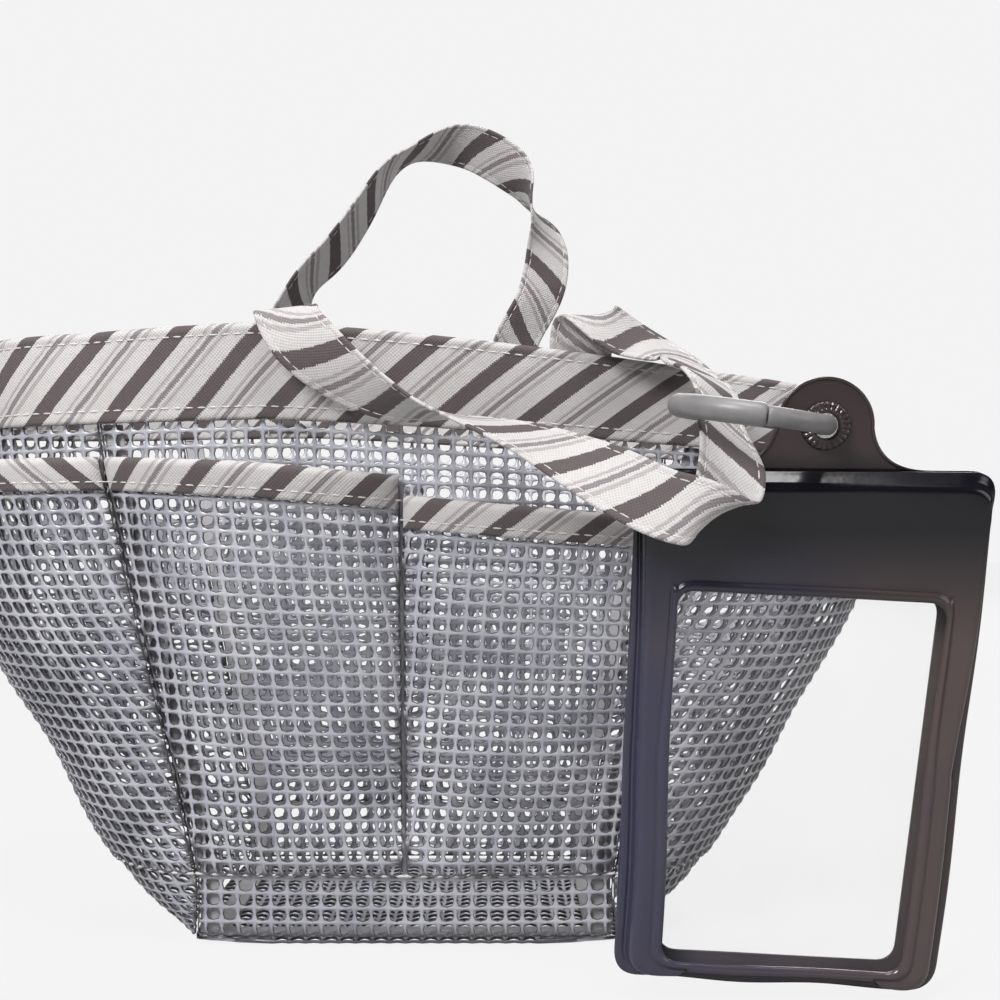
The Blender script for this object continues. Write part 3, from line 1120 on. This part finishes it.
# %% Straps
BENDS = {"front": ((0.063, -1, 0.3), 0.141, 0.145), "back": ((0.071, 0, 1), 0.216, 0.220)}
STRAPS = {"front": (11.5, FRONT_ROWS, 1, 0.8), "back": (-13.5, BACK_ROWS, -1, 1.1)}
NARROWEST_SEWN_HALF = 6
for side, (shift, shares, sign, lift) in STRAPS.items():
    rows, length, seams, half = strap(side, shift, shares, sign, lift + STRAP_THICKNESS / 2)
    band = skin(f"{side}_canvas_strap", rows, length, strap_cloth, straight_canvas)
    first, last = np.flatnonzero(half > NARROWEST_SEWN_HALF)[[0, -1]]
    thread = stitches(f"{side}_strap_stitches", [seam[first:last + 1] for seam in seams], length=3.6, width=0.5)
    way, start, end = BENDS[side]
    way = Vector(way)
    for piece, slot in ((band, "striped_canvas"), (thread, "seam_tape")):
        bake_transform(piece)
    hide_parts(f"{side}_handle", f"{side}_handle_left_end", f"{side}_handle_right_end")
    print(band.name, round(length[-1]), "mm of strap")

# %% [markdown]
# The ring and the pouch hang together, each in a frame of its own: the ring lies nearly level,
# and the pouch leans 8 degrees against the bag. This helper moves rows of points from such a
# frame to the shared one, so that each can be drawn flat and still ends at the object's origin.

# %% Frames of the ring and the pouch
RING_RADIUS, WIRE, SOCKET_WIRE, PEG, PEG_LENGTH, PEG_ROOM = 22.5, 6, 7.4, 3, 5, 1.5
RING_TILT, RING_LEAN, POUCH_LEAN, POUCH_TILT = (math.radians(angle) for angle in (8, 3.6, 8, 3))
RING_CENTRE = Vector((111.5, -129, 186))
RING_TURN = Matrix.Rotation(RING_LEAN, 4, "X") @ Matrix.Rotation(RING_TILT, 4, "Y")
POUCH_TURN = Matrix.Rotation(POUCH_LEAN, 4, "X") @ Matrix.Rotation(POUCH_TILT, 4, "Y")
EYELET_PLACE = RING_CENTRE + RING_RADIUS * Vector((math.cos(RING_TILT), 0, -math.sin(RING_TILT)))


def placed(points, origin, turn):
    return points @ np.array(turn.to_3x3()).T + np.array(origin)


print("eyelet at", tuple(round(v, 1) for v in EYELET_PLACE), "mm")

# %% [markdown]
# The ring is moulded acetal, a slippery grey plastic with an IOR of 1.48. The mould's fine
# texture, a grain of 0.45 mm, makes it satin, and its grey drifts a little in clouds of 11 mm,
# as the plastic flowed.

# %% Ring plastic
ring_paint, tree = new_material("satin_grey_acetal")
place = add_node(tree, "ShaderNodeTexCoord").outputs["Object"]
grain = add_node(tree, "ShaderNodeTexNoise", {"Vector": place, "Scale": scale_for(0.4545), "Detail": 2})
flow = add_node(tree, "ShaderNodeTexNoise", {"Vector": place, "Scale": scale_for(11.11), "Detail": 3})
tone = add_node(tree, "ShaderNodeValToRGB", [flow.outputs["Fac"]])
tone.color_ramp.elements[0].position, tone.color_ramp.elements[0].color = 0.3, srgb("#7F7D7D")
tone.color_ramp.elements[1].position, tone.color_ramp.elements[1].color = 0.7, srgb("#979595")
bump = add_node(tree, "ShaderNodeBump", {"Height": grain.outputs["Fac"], "Strength": 0.15, "Distance": 0.0001})
satin = add_node(tree, "ShaderNodeBsdfPrincipled",
                 {"Base Color": tone, "Normal": bump, "Roughness": 0.36, "IOR": 1.48})
add_node(tree, "ShaderNodeOutputMaterial", [satin])
print(ring_paint.name)

# %% [markdown]
# The ring comes in two halves. The thick half is a socket, and the thin half ends in a peg that
# pushes into it, so the ring can be opened. Each is a rod of changing radius, laid round a
# circle: pairs of distance along the ring and radius say where it narrows. All ends are rounded
# as a moulding is.

# %% Split ring
ROD_STEP, ROD_SIDES = 1.2, 28


def bent_rod(name, profile):
    """A rod along the ring. profile has pairs of distance along the ring in mm and radius."""
    profile = np.array(profile, float)
    pieces = [profile[:1]]
    for a, b in zip(profile[:-1], profile[1:]):
        count = max(1, round(abs(b[0] - a[0]) / ROD_STEP))
        pieces.append(a + (b - a) * (np.arange(1, count + 1) / count)[:, None])
    along_ring, radius = np.concatenate(pieces).T
    angle = along_ring / RING_RADIUS
    turn = np.linspace(0, math.tau, ROD_SIDES + 1)
    out = RING_RADIUS + radius[:, None] * np.cos(turn[:-1])
    rows = np.stack([out * np.cos(angle)[:, None], out * np.sin(angle)[:, None],
                     radius[:, None] * np.sin(turn[:-1])], axis=-1)
    return skin(name, placed(rows, RING_CENTRE, RING_TURN), along_ring, turn * WIRE / 2, ring_paint)


quarter = RING_RADIUS * math.pi / 2
peg_end, peg = -quarter - PEG_LENGTH, PEG / 2
socket_start, socket_end, bore = quarter + GAP, 3 * quarter - GAP, PEG / 2 + GAP
bore_end = 3 * quarter - PEG_LENGTH - PEG_ROOM
thin, thick = WIRE / 2, SOCKET_WIRE / 2
pin = bent_rod("ring_pin_rod", [
    (peg_end, 0.2), (peg_end, 1.1), (peg_end + 0.4, peg), (-quarter, peg), (-quarter, thin - 0.5),
    (-quarter + 0.2, thin - 0.15), (-quarter + 0.6, thin), (quarter - 0.6, thin),
    (quarter - 0.2, thin - 0.15), (quarter, thin - 0.5), (quarter, 0.2)])
socket_rod = bent_rod("ring_socket_rod", [
    (socket_start, 0.2), (socket_start, thick - 0.7), (socket_start + 0.3, thick - 0.2),
    (socket_start + 0.9, thick), (socket_end - 0.9, thick), (socket_end - 0.3, thick - 0.2),
    (socket_end, thick - 0.7), (socket_end, bore), (bore_end, bore), (bore_end, 0.2)])
for rod, node, body in ((pin, "ring_pin_half", "ring"), (socket_rod, "ring_socket_half", "ring_gate")):
    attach(rod, body)
    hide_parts(node)
print("ring of", 2 * RING_RADIUS, "mm, wire", WIRE, "and", SOCKET_WIRE, "mm")

# %% [markdown]
# The pouch is smoke-coloured soft PVC sheet, pressed and welded: glossy, with a thin clear skin
# and an IOR of 1.53. It is nearly black along its top bar, bluish at the left, and browner at
# the right and on the tab, where the light comes through one layer. Soft vinyl is never flat,
# so clouds of 45 mm shift its tone and its gloss, and ripples of 4 mm bend its reflections.

# %% Smoke vinyl
vinyl_paint, tree = new_material("smoke_pvc_film")
place = add_node(tree, "ShaderNodeTexCoord").outputs["Object"]
x, _, z = add_node(tree, "ShaderNodeSeparateXYZ", [place]).outputs
cloud = add_node(tree, "ShaderNodeTexNoise", {"Vector": place, "Scale": scale_for(45.45), "Detail": 3})
ripple = add_node(tree, "ShaderNodeTexNoise", {"Vector": place, "Scale": scale_for(3.846), "Detail": 2})
side_share = add_node(tree, "ShaderNodeMapRange", {"Value": x, "From Min": 0.09, "From Max": 0.17})
mottle = add_node(tree, "ShaderNodeMath", [cloud.outputs["Fac"], 0.5], operation="SUBTRACT")
mottle = add_node(tree, "ShaderNodeMath", [mottle, 1.6], operation="MULTIPLY")
mottled = add_node(tree, "ShaderNodeMath", [side_share, mottle], operation="ADD")
sideways = add_node(tree, "ShaderNodeValToRGB", [mottled])
blue_side, brown_side = sideways.color_ramp.elements
blue_side.color, brown_side.color = srgb("#434258"), srgb("#5A4C4A")
tone = sideways.outputs["Color"]
for low, high, colour in ((0.115, 0.15, "#0F0F17"), (0.167, 0.175, "#3F3333")):
    up_share = add_node(tree, "ShaderNodeMapRange", {"Value": z, "From Min": low, "From Max": high})
    tone = add_node(tree, "ShaderNodeMix", {0: up_share, 6: tone, 7: srgb(colour)},
                    data_type="RGBA").outputs[2]
rough = add_node(tree, "ShaderNodeMapRange", {"Value": cloud.outputs["Fac"], "To Min": 0.10, "To Max": 0.30})
bump = add_node(tree, "ShaderNodeBump", {"Height": ripple.outputs["Fac"], "Strength": 0.12, "Distance": 0.0004})
film = add_node(tree, "ShaderNodeBsdfPrincipled",
                {"Base Color": tone, "Roughness": rough, "Normal": bump, "IOR": 1.53,
                 "Coat Weight": 0.25, "Coat Roughness": 0.06})
add_node(tree, "ShaderNodeOutputMaterial", [film])
print(vinyl_paint.name)

# %% [markdown]
# The two panes are clear PVC sheet: nearly all light goes straight through, and some is
# mirrored. A low alpha gives that in one bounce, where real refraction through two films would
# be slow and noisy. Ripples of 22 mm bend the mirror image and thicken the haze in places.

# %% Clear vinyl
pane_paint, tree = new_material("clear_pvc_film")
place = add_node(tree, "ShaderNodeTexCoord").outputs["Object"]
ripple = add_node(tree, "ShaderNodeTexNoise", {"Vector": place, "Scale": scale_for(22.22), "Detail": 2})
bump = add_node(tree, "ShaderNodeBump", {"Height": ripple.outputs["Fac"], "Strength": 0.2, "Distance": 0.002})
haze = add_node(tree, "ShaderNodeMapRange", {"Value": ripple.outputs["Fac"], "To Min": 0.006, "To Max": 0.03})
clear = add_node(tree, "ShaderNodeBsdfPrincipled",
                 {"Alpha": haze, "Normal": bump, "Base Color": srgb("#E9E7E8"), "Roughness": 0.08, "IOR": 1.53})
add_node(tree, "ShaderNodeOutputMaterial", [clear])
print(pane_paint.name)

# %% [markdown]
# The pouch's outline and its window are two loops with rounded corners and the same number of
# points, so that straight lines between them lead from any place on the edge to its partner
# on the window. The last side of the loop is the open mouth at the top. The value mouth is 1
# there, 0 at the welded sides, and changes over in the two upper corners.

# %% Outline and window of the pouch
POUCH_TOP_WIDTH, POUCH_BOTTOM_WIDTH, POUCH_HEIGHT, POUCH_LEFT, POUCH_TOP_BELOW = 111, 104, 169.8, 1.5, 11.2
POUCH_TOP_SLOPE, POUCH_CORNER, POUCH_SHEET, POUCH_ROOM = 5, 9, 0.8, 7.8
SIDE_BAR, BOTTOM_BAR, TOP_BAR, WINDOW_CORNER, WINDOW_LAP, PANE = 14, 9, 40.8, 6, 4, 0.5
SIDE_STEPS, TURN_STEPS = (70, 44, 70, 44), 10
pouch_top, pouch_foot = -POUCH_TOP_BELOW, -POUCH_TOP_BELOW - POUCH_HEIGHT


def four_corners(top, foot, inset, slope):
    half_top, half_foot = POUCH_TOP_WIDTH / 2 - inset, POUCH_BOTTOM_WIDTH / 2 - inset
    return np.array([(-POUCH_LEFT - half_top, top - slope), (-POUCH_LEFT - half_foot, foot),
                     (-POUCH_LEFT + half_foot, foot), (-POUCH_LEFT + half_top, top)])


def curve_to(start, pull, stop, count):
    t = np.linspace(0, 1, count)[:, None]
    return np.array(start) * (1 - t) ** 2 + np.array(pull) * 2 * t * (1 - t) + np.array(stop) * t ** 2


def rounded(corners, radius):
    """A loop with rounded corners. It starts at the first one, and every size has the same count."""
    loop = []
    for k, corner in enumerate(corners):
        before, after = corners[k - 1], corners[(k + 1) % 4]
        stop = corner + unit(after - corner) * radius
        loop.append(curve_to(corner + unit(before - corner) * radius, corner, stop, TURN_STEPS + 1))
        ahead = after + unit(corner - after) * radius
        loop.append(stop + (ahead - stop) * (np.arange(1, SIDE_STEPS[k]) / SIDE_STEPS[k])[:, None])
    return np.concatenate(loop)


pouch_edge = rounded(four_corners(pouch_top, pouch_foot, 0, POUCH_TOP_SLOPE), POUCH_CORNER)
window = rounded(four_corners(pouch_top - TOP_BAR, pouch_foot + BOTTOM_BAR, SIDE_BAR, 0), WINDOW_CORNER)
mouth_count, turn_count = SIDE_STEPS[3] - 1, TURN_STEPS + 1
mouth = np.zeros(len(pouch_edge))
mouth[-mouth_count:] = 1
mouth[:turn_count] = np.linspace(1, 0, turn_count + 2)[1:-1] ** 0.7
mouth[-mouth_count - turn_count:-mouth_count] = np.linspace(0, 1, turn_count + 2)[1:-1] ** 0.7
print("pouch outline:", len(pouch_edge), "points")

# %% [markdown]
# The pouch's front sheet is a frame round the window. At its sides and foot it is welded flat
# to the back sheet in a 3 mm flange and rises behind a welded line. At the mouth its edge is
# rolled. The window's edge is a raised lip with a groove outside it. Each list gives depths to
# the front, in mm, at the distances in the list before it, so the whole section can be read
# and changed here.

# %% Section of the pouch's front
from_edge = np.array([0, 0, 0.3, 0.9, 1.8, 2.6, 3.0, 3.4, 3.9, 4.6, 5.4, 6.6])
welded = np.array([-0.5, -1.3, -1.7, -1.8, -1.8, -1.7, -1.35, -2.6, -5.0, -7.4, -8.5, -9.0])
rolled = np.array([-4.2, -4.5, -4.8, -5.3, -6.2, -7.0, -7.4, -7.8, -8.3, -8.8, -9.0, -9.05])
from_window = np.array([4.8, 4.1, 3.6, 3.0, 2.2, 1.2, 0.5, 0.1, 0, 0.3])
lip = np.array([-9.0, -8.95, -8.6, -9.35, -10.0, -9.95, -9.5, -8.95, -8.5, -8.25])
under_edge = np.array([7.2, 5.6, 4.6, 3.8, 3.2, 1.6, 0.7])
under_weld = np.array([-8.2, -7.6, -6.3, -3.4, -1.0, -0.9, -0.55])
under_roll = np.array([-8.2, -8.1, -7.8, -7.3, -6.8, -5.2, -4.5])
FLAT_DEPTH, UNDER_DEPTH, STILL_ROWS = -9.0, -8.2, 8
span = window - pouch_edge
reach = np.linalg.norm(span, axis=1)
way = span / reach[:, None]
bar = np.where(mouth > 0.5, TOP_BAR, np.where(np.abs(way[:, 1]) > 0.7, BOTTOM_BAR, SIDE_BAR))
slant = np.maximum(np.minimum(reach / bar, 1.5), 1)


def swell(place):
    """Soft unevenness of the film, in mm to the front."""
    x, z = place.T
    return 0.35 * np.sin(x / 13 + z / 21) + 0.22 * np.sin(z / 9 + 1 + x / 30) + 0.15 * np.sin(x / 6 - z / 14)


def film_row(place, depth, unevenness):
    return np.column_stack([place[:, 0], depth - unevenness * swell(place), place[:, 1]])


def film_rows(distances, weld_depths, roll_depths, unevenness, base):
    """Rows at distances along the way from base, at depths that differ where the mouth is."""
    return [film_row(base + way * (d * slant)[:, None], weld * (1 - mouth) + roll * mouth, unevenness)
            for d, weld, roll in zip(distances, weld_depths, roll_depths)]


print("window bars are up to", slant.max().round(2), "times as long at a slant")

# %% [markdown]
# The rows go over the outside from the edge to the window, turn round the lip, and come back
# underneath. The weld itself stays true, and the film past it is uneven. At last the foot
# and the sides are waved a little, as a welded edge puckers.

# %% Pouch front
FOOT_WAVE_REACH, SIDE_WAVE_REACH, SECTION_CLOTH = 14, 50, 60
rows = film_rows(from_edge[:STILL_ROWS], welded, rolled, 0.0, pouch_edge)
rows += film_rows(from_edge[STILL_ROWS:], welded[STILL_ROWS:], rolled[STILL_ROWS:], 0.7, pouch_edge)
flat_reach = np.maximum(reach - (from_edge[-1] + from_window[0]) * slant, 0.4)
for share in (0.2, 0.4, 0.6, 0.8):
    along_way = from_edge[-1] * slant + flat_reach * share
    rows.append(film_row(pouch_edge + way * along_way[:, None], FLAT_DEPTH, 0.9))
rows += film_rows(-from_window, lip, lip, 0.8, window)
for share in (0.1875, 0.275, 0.3625):
    rows.append(film_row(window + (pouch_edge - window) * share, UNDER_DEPTH, 0.8))
rows += film_rows(under_edge, under_weld, under_roll, 0.0, pouch_edge)
rows = np.stack(rows, axis=1)
near_foot = np.clip((pouch_foot + FOOT_WAVE_REACH - rows[..., 2]) / FOOT_WAVE_REACH, 0, 1)
rows[..., 2] += 0.5 * np.sin(rows[..., 0] / 8) * near_foot
near_side = np.clip(np.abs(rows[..., 0]) / SIDE_WAVE_REACH, 0, 1)
rows[..., 0] += 0.35 * np.sin(rows[..., 2] / 13) * near_side
rows = placed(rows, EYELET_PLACE, POUCH_TURN)
run = running(np.concatenate([rows[:, 0], rows[:1, 0]]))
front = skin("pouch_front_film", rows, run, np.linspace(0, SECTION_CLOTH, rows.shape[1] + 1),
             vinyl_paint, loop=True)
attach(front, "pouch")
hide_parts("pouch_front_sheet", "pouch_edge_weld")
print(front.name, len(front.data.polygons), "faces")

# %% [markdown]
# The back sheet is cut with the hanging tab in one piece, and its outline follows the front's
# edge and then swings up round the tab. It has holes for the window and the eyelet, so a 2D
# curve is the simplest way: it fills any outline, holes and all, and rounds the cut edge.

# %% Outline of the pouch's back
TAB_RADIUS, TAB_WAIST, TAB_FOOT, EYELET_HOLE = 15, 17.5, 33, 3.9


def arc(radius, start, stop, count):
    angle = np.linspace(start, stop, count)
    return np.stack([radius * np.cos(angle), radius * np.sin(angle)], axis=1)


def ledge(x):
    """The height of the sloping top edge at x."""
    left, _, _, right = four_corners(pouch_top, pouch_foot, 0, POUCH_TOP_SLOPE)
    return left[1] + (right[1] - left[1]) * (x - left[0]) / (right[0] - left[0])


right_foot, right_waist, left_waist, left_foot = (
    (x, ledge(x)) for x in (TAB_FOOT, TAB_WAIST, -TAB_WAIST, -TAB_FOOT))
tab = np.concatenate([curve_to(right_foot, right_waist, (TAB_RADIUS, 0), 14),
                      arc(TAB_RADIUS, 0, math.pi, 40)[1:-1],
                      curve_to((-TAB_RADIUS, 0), left_waist, left_foot, 14)])
outline = np.concatenate([pouch_edge[:-mouth_count], tab])
eyelet_hole = arc(EYELET_HOLE, 0, math.tau, 49)[:-1]
print("tab outline:", len(tab), "points")

# %% Pouch back
FILM_EDGE_ROUND = 0.15


def flat_film(name, outlines, thick, paint):
    """A flat film from closed outlines in x and z: the first is its edge, the others are holes."""
    data = bpy.data.curves.new(name, "CURVE")
    data.dimensions, data.fill_mode = "2D", "BOTH"
    data.bevel_depth, data.bevel_resolution = FILM_EDGE_ROUND * MM, 2
    data.extrude, data.offset = (thick / 2 - FILM_EDGE_ROUND) * MM, -FILM_EDGE_ROUND * MM
    for loop in outlines:
        spline = data.splines.new("POLY")
        spline.points.add(len(loop) - 1)
        spline.use_cyclic_u = True
        flat = np.column_stack([loop * MM, np.zeros(len(loop)), np.ones(len(loop))])
        spline.points.foreach_set("co", flat.astype(np.float32).ravel())
    drawn = bpy.data.objects.new(name, data)
    scene.collection.objects.link(drawn)
    graph = bpy.context.evaluated_depsgraph_get()
    mesh = bpy.data.meshes.new_from_object(drawn.evaluated_get(graph), depsgraph=graph)
    bpy.data.objects.remove(drawn)
    work = bmesh.new()
    work.from_mesh(mesh)
    bmesh.ops.remove_doubles(work, verts=work.verts, dist=1e-6)
    bmesh.ops.recalc_face_normals(work, faces=work.faces)
    work.to_mesh(mesh)
    work.free()
    points = np.empty(len(mesh.vertices) * 3)
    mesh.vertices.foreach_get("co", points)
    points = points.reshape(-1, 3) / MM
    points = np.stack([points[:, 0], -points[:, 2], points[:, 1]], axis=1)
    mesh.vertices.foreach_set("co", (placed(points, EYELET_PLACE, POUCH_TURN) * MM).ravel())
    mesh.materials.clear()
    mesh.materials.append(paint)
    mesh.update()
    made = bpy.data.objects.new(name, mesh)
    scene.collection.objects.link(made)
    return made


back = flat_film("pouch_back_film", [outline, window, eyelet_hole], POUCH_SHEET, vinyl_paint)
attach(back, "pouch")
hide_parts("pouch_back_sheet")
print(back.name, len(back.data.polygons), "faces")

# %% [markdown]
# A thin bead follows the tab's edge, where the weld pressed the vinyl up. It is a small tube,
# half sunk into the tab.

# %% Bead of the tab
BEAD_SIDES, BEAD_INSET, BEAD_HALF_WIDTH, BEAD_HALF_DEPTH, BEAD_CLOTH = 12, 0.5, 0.55, 0.45, 3.4
turn = np.linspace(0, math.tau, BEAD_SIDES + 1)[:-1]
ahead = unit(np.gradient(tab, axis=0))
aside = np.stack([ahead[:, 1], -ahead[:, 0]], axis=1)
middle = tab - aside * BEAD_INSET
depths = -BEAD_HALF_DEPTH - BEAD_HALF_DEPTH * np.sin(turn)
rows = np.stack([middle[:, None, 0] + BEAD_HALF_WIDTH * np.cos(turn) * aside[:, :1],
                 np.broadcast_to(depths, (len(tab), BEAD_SIDES)),
                 middle[:, None, 1] + BEAD_HALF_WIDTH * np.cos(turn) * aside[:, 1:]], axis=-1)
bead = skin("pouch_tab_bead", placed(rows, EYELET_PLACE, POUCH_TURN), running(tab),
            np.linspace(0, BEAD_CLOTH, BEAD_SIDES + 1), vinyl_paint)
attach(bead, "pouch")
print(bead.name, len(bead.data.polygons), "faces")

# %% [markdown]
# The eyelet is a ring with ribs all round it, like a cog pressed into the tab. Its section is
# a row of radius, depth and share of the rib there, and a cosine that is cut off flat makes
# the ribs.

# %% Eyelet
EYELET_RADIUS, EYELET_RIBS, PLACES_PER_RIB, EYELET_CLOTH = 7.7, 24, 8, 9
angle = np.linspace(0, math.tau, EYELET_RIBS * PLACES_PER_RIB + 1)
rib = np.clip(1.6 * np.cos(angle[:-1] * EYELET_RIBS) + 0.9, 0, 1)
profile = [(3.95, -0.8, 0), (3.9, -1.5, 0), (4.05, -2.0, 0), (4.5, -2.2, 0), (5.0, -2.05, 0), (5.2, -1.7, 0.35),
           (6.1, -1.7, 0.45), (7.0, -1.65, 0.45), (7.4, -1.4, 0.35), (7.65, -0.8, 0)]
rows = np.stack([np.stack([r * np.cos(angle[:-1]), y - depth * rib, r * np.sin(angle[:-1])], axis=1)
                 for r, y, depth in profile], axis=1)
eyelet = skin("pouch_ribbed_eyelet", placed(rows, EYELET_PLACE, POUCH_TURN), angle * EYELET_RADIUS,
              np.linspace(0, EYELET_CLOTH, len(profile) + 1), vinyl_paint, loop=True)
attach(eyelet, "pouch")
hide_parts("pouch_eyelet")
print("eyelet with", EYELET_RIBS, "ribs")

# %% [markdown]
# The panes are thin films that ripple a little and are tucked 4 mm under the window's edge.
# Each has a front and a back face, because a single sheet of faces would be open.

# %% Panes
PANE_HEIGHT, PANE_CLOTH, PANE_RIPPLE = 129, 184, 0.12
corners = four_corners(pouch_top - TOP_BAR + WINDOW_LAP, pouch_foot + BOTTOM_BAR - WINDOW_LAP,
                       SIDE_BAR - WINDOW_LAP, 0)
share = np.linspace(0, 1, 44)
left = corners[0] + (corners[1] - corners[0]) * share[:, None]
right = corners[3] + (corners[2] - corners[3]) * share[:, None]
grid = left[:, None] + (right - left)[:, None] * np.linspace(0, 1, 30)[None, :, None]
ripple = PANE_RIPPLE * np.sin(grid[..., 0] / 9 + 1) * np.sin(grid[..., 1] / 14)
behind_back = -POUCH_SHEET / 2
for side, y in (("front", behind_back - POUCH_ROOM + GAP), ("back", behind_back - GAP - PANE)):
    face = np.stack([grid[..., 0], y + ripple, grid[..., 1]], axis=-1)
    rows = placed(np.concatenate([face, (face + [0, PANE, 0])[:, ::-1]], axis=1), EYELET_PLACE, POUCH_TURN)
    pane = skin(f"pouch_{side}_pane", rows, -share * PANE_HEIGHT,
                np.linspace(0, PANE_CLOTH, rows.shape[1] + 1), pane_paint)
    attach(pane, "pouch")
    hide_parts(f"pouch_{side}_window")
print("two panes of", PANE, "mm")

# %% [markdown]
# The last cell writes the object's size with the solids alone and with all pieces, and hands
# the finished scene over.

# %% Size and finish
low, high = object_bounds()
